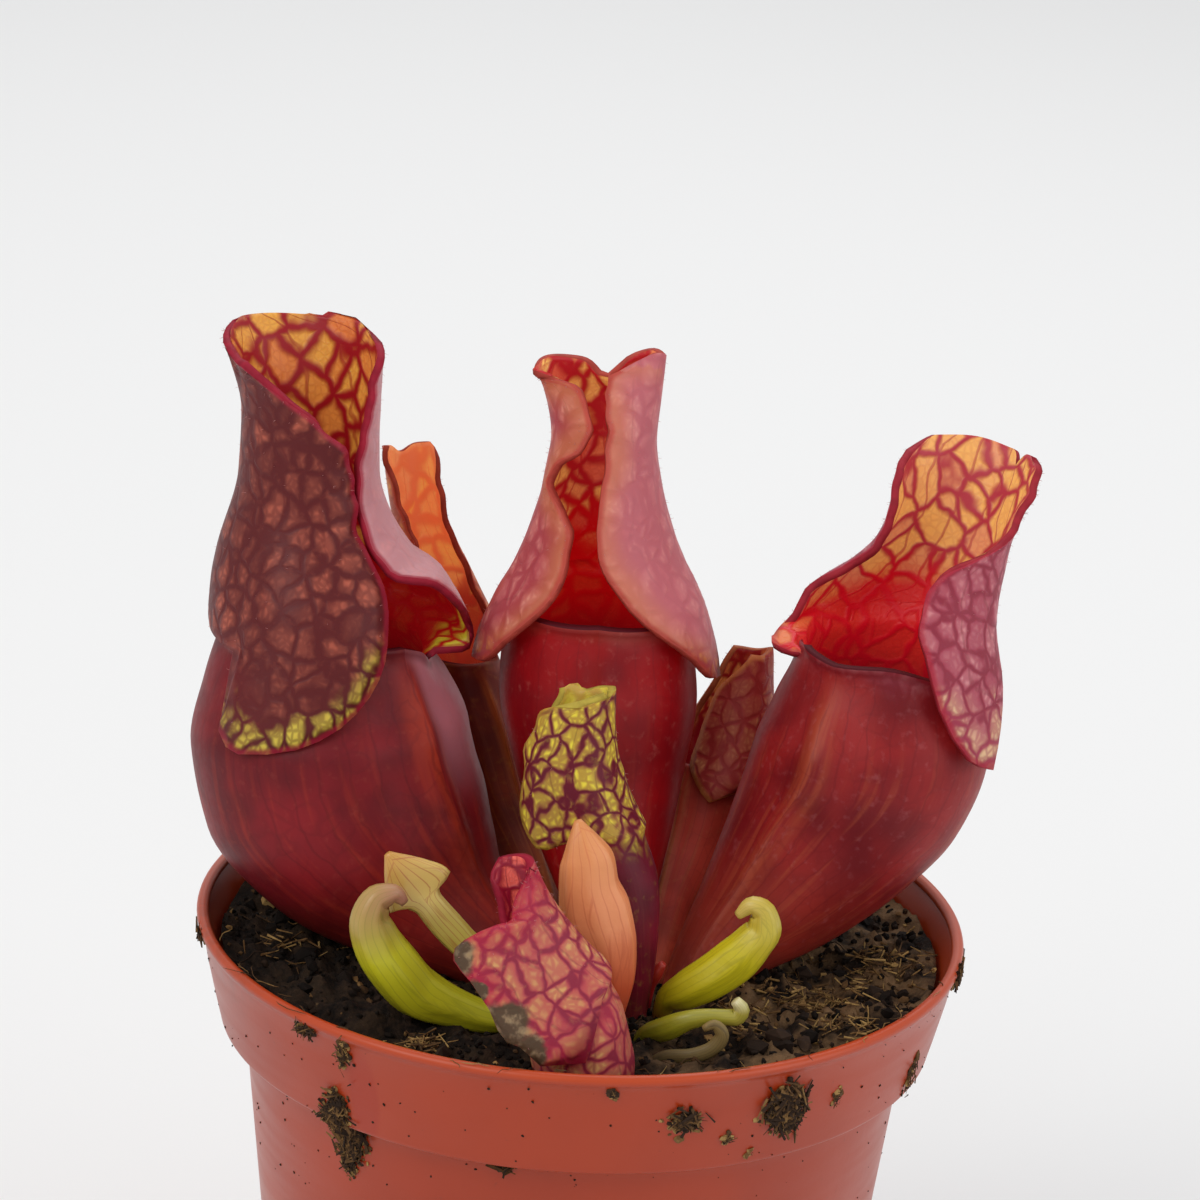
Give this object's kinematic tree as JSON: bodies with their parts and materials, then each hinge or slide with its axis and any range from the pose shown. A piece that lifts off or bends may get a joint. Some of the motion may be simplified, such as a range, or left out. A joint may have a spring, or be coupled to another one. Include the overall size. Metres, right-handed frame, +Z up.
{
  "type": "potted pitcher plant",
  "caption": "Young purple pitcher plant with hooded tube-shaped leaves and closed leaf buds, growing in soil in a tapered plastic nursery pot with a rim collar.",
  "frame": {"origin": "centre of the pot's underside, where it stands", "axes": "+Z up along the pot's axis; -Y towards the side from which the plant is usually seen"},
  "size_m": [0.0969, 0.09, 0.1441],
  "materials": {
    "pot_plastic": "injection moulded, satin gloss",
    "peat": "moist, crumbly",
    "root": "rough",
    "pitcher_leaf": "fine hairs, faint sheen",
    "rear_leaf": "fine hairs, faint sheen",
    "young_leaf": "netted with dark veins",
    "front_leaf": "netted with dark veins",
    "bud_leaf": "smooth, fleshy",
    "green_leaf": "smooth, fleshy",
    "pale_leaf": "smooth, fleshy",
    "dry_leaf": "dry and brittle",
    "red_leaf": "smooth, fleshy"
  },
  "bodies": {
    "root": {"pot": "pot_plastic", "soil": "peat", "rootstock": "root", "leaf_left_pitcher": "pitcher_leaf", "leaf_middle_pitcher": "pitcher_leaf", "leaf_right_pitcher": "pitcher_leaf", "leaf_rear_left_pitcher": "rear_leaf", "leaf_rear_right_pitcher": "pitcher_leaf", "leaf_young_pitcher": "young_leaf", "leaf_front_pitcher": "front_leaf", "leaf_salmon_bud": "bud_leaf", "leaf_green_left": "green_leaf", "leaf_arrow": "pale_leaf", "leaf_green_right": "green_leaf", "leaf_green_low": "green_leaf", "leaf_dry_curl": "dry_leaf", "leaf_red_bud": "red_leaf"}
  },
  "joints": []
}
